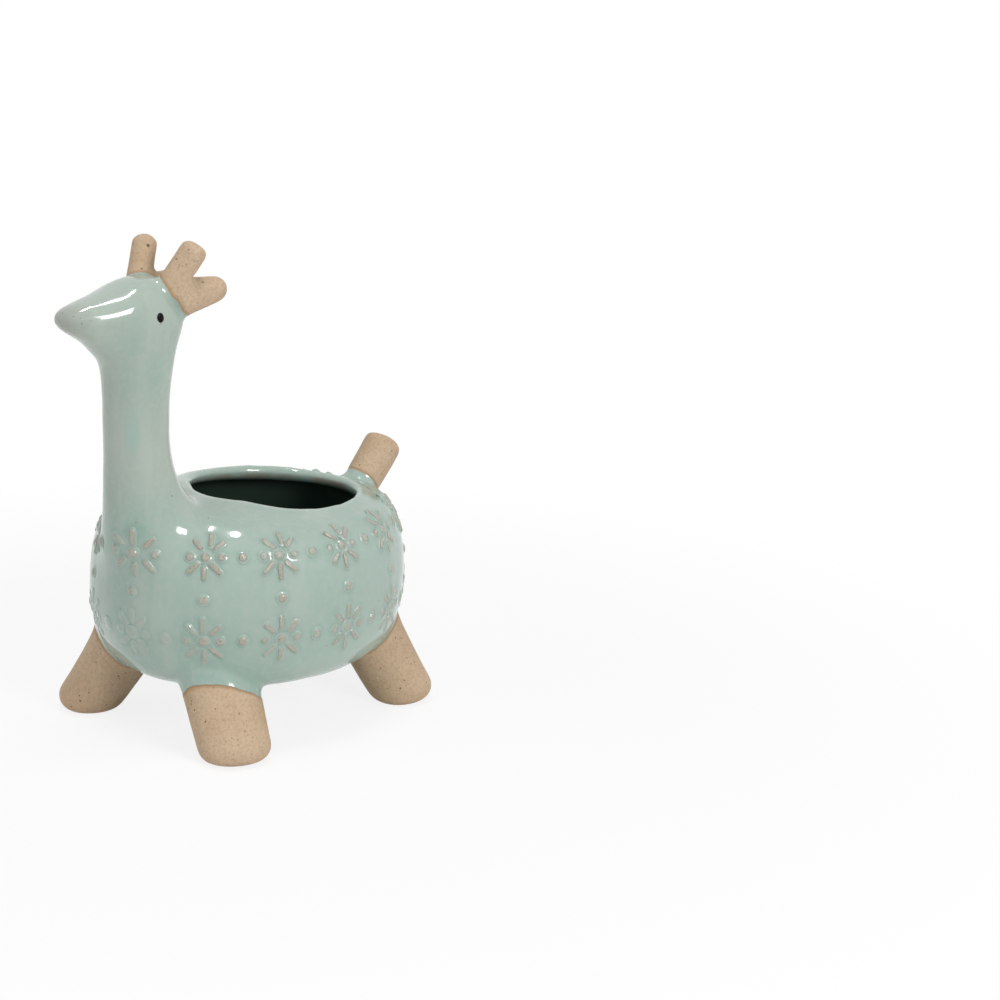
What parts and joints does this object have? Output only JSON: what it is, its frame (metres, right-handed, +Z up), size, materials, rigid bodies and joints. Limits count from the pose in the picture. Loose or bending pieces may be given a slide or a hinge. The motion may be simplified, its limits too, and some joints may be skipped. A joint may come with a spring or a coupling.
{
  "type": "animal shaped planter",
  "caption": "Glazed stoneware planter shaped as a long-necked animal: a squat open bowl on splayed bare-clay legs, with a peg tail, forked antlers and sprigged flowers.",
  "frame": {"origin": "on the table, under the middle of the planter's bounding box", "axes": "+Z up; the animal looks along -Y and its left side is +X"},
  "size_m": [0.1154, 0.1744, 0.1936],
  "materials": {
    "glazed_stoneware": "glossy pale celadon glaze with fine iron specks",
    "sprig_glaze": "celadon glaze breaking to tan on the relief",
    "bare_clay": "unglazed warm tan stoneware with dark specks, matte",
    "black_glaze": "glossy black glaze dot"
  },
  "bodies": {
    "root": {"antler_beam_left": "bare_clay", "antler_beam_right": "bare_clay", "antler_tine_left": "bare_clay", "antler_tine_right": "bare_clay", "bowl": "glazed_stoneware", "drop_beads": "sprig_glaze", "eye_left": "black_glaze", "eye_right": "black_glaze", "leg_front_left": "bare_clay", "leg_front_right": "bare_clay", "leg_rear_left": "bare_clay", "leg_rear_right": "bare_clay", "lower_beads": "sprig_glaze", "lower_flower_01": "sprig_glaze", "lower_flower_02": "sprig_glaze", "lower_flower_03": "sprig_glaze", "lower_flower_04": "sprig_glaze", "lower_flower_05": "sprig_glaze", "lower_flower_06": "sprig_glaze", "lower_flower_07": "sprig_glaze", "lower_flower_08": "sprig_glaze", "lower_flower_09": "sprig_glaze", "lower_flower_10": "sprig_glaze", "lower_flower_11": "sprig_glaze", "lower_flower_12": "sprig_glaze", "lower_flower_13": "sprig_glaze", "neck_and_head": "glazed_stoneware", "tail": "bare_clay", "upper_beads": "sprig_glaze", "upper_flower_01": "sprig_glaze", "upper_flower_02": "sprig_glaze", "upper_flower_03": "sprig_glaze", "upper_flower_04": "sprig_glaze", "upper_flower_05": "sprig_glaze", "upper_flower_06": "sprig_glaze", "upper_flower_07": "sprig_glaze", "upper_flower_08": "sprig_glaze", "upper_flower_09": "sprig_glaze", "upper_flower_10": "sprig_glaze", "upper_flower_11": "sprig_glaze", "upper_flower_12": "sprig_glaze"}
  },
  "joints": []
}
